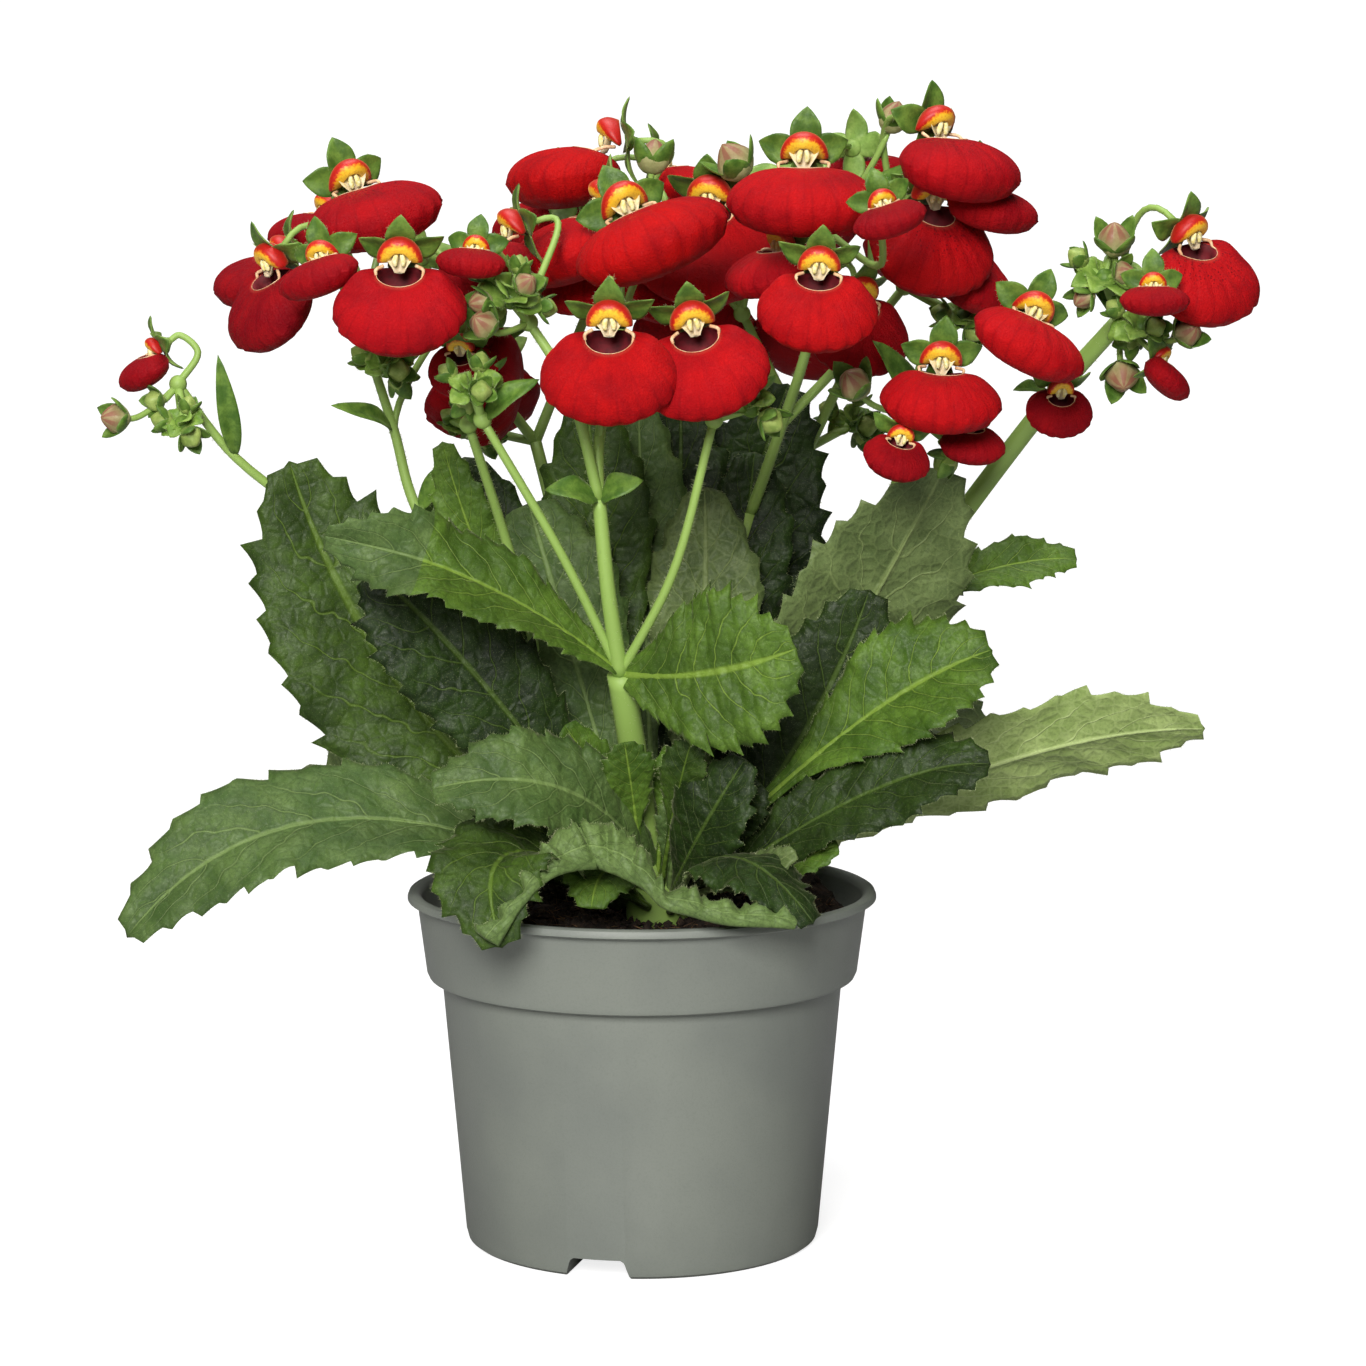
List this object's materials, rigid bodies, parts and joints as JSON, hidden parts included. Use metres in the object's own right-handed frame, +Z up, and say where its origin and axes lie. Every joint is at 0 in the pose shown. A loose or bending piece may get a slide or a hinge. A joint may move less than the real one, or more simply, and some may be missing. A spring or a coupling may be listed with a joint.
{
  "type": "pocketbook plant",
  "caption": "Potted pocketbook plant: grey nursery pot with soil, toothed leaves and branching stems with buds and red pouch-shaped flowers under small hoods.",
  "frame": {"origin": "centre of the flat underside of the pot, on the surface that the pot stands on", "axes": "+Z up the pot and the stems, -Y towards the front of the plant, +X to the right seen from the front"},
  "size_m": [0.287, 0.1733, 0.2959],
  "materials": {
    "pot": "matt moulded grey plastic",
    "soil": null,
    "stem": null,
    "leaf": null,
    "bloom": null
  },
  "bodies": {
    "root": {"bloom_back_1": "bloom", "bloom_back_2": "bloom", "bloom_back_3": "bloom", "bloom_back_4": "bloom", "bloom_back_5": "bloom", "bloom_back_6": "bloom", "bloom_centre_pair": "bloom", "bloom_core": "bloom", "bloom_crest": "bloom", "bloom_far_left": "bloom", "bloom_far_right": "bloom", "bloom_left_behind": "bloom", "bloom_left_front": "bloom", "bloom_left_hanging": "bloom", "bloom_left_inner": "bloom", "bloom_left_outer": "bloom", "bloom_left_small": "bloom", "bloom_left_top": "bloom", "bloom_low_dark": "bloom", "bloom_low_small": "bloom", "bloom_middle_front": "bloom", "bloom_middle_hanging": "bloom", "bloom_middle_left": "bloom", "bloom_right_front": "bloom", "bloom_right_nodding": "bloom", "bloom_right_small": "bloom", "bloom_right_speckled": "bloom", "bloom_right_tilted": "bloom", "bloom_side_facing": "bloom", "bloom_top_back": "bloom", "bloom_top_left": "bloom", "bloom_top_middle": "bloom", "bloom_top_right": "bloom", "bloom_under_top": "bloom", "crown": "stem", "leaf_back_left_low": "leaf", "leaf_back_left_tall": "leaf", "leaf_back_low": "leaf", "leaf_back_right": "leaf", "leaf_back_right_low": "leaf", "leaf_front_arch": "leaf", "leaf_front_grey": "leaf", "leaf_front_low": "leaf", "leaf_left_dark": "leaf", "leaf_left_long": "leaf", "leaf_left_tall": "leaf", "leaf_right_bright": "leaf", "leaf_right_dark": "leaf", "leaf_right_long": "leaf", "leaf_right_low": "leaf", "leaf_right_pale": "leaf", "pot": "pot", "soil": "soil", "spray_back_left": "stem", "spray_back_right": "stem", "spray_centre": "stem", "spray_far_left": "stem", "spray_left": "stem", "spray_middle": "stem", "spray_right": "stem"}
  },
  "joints": []
}
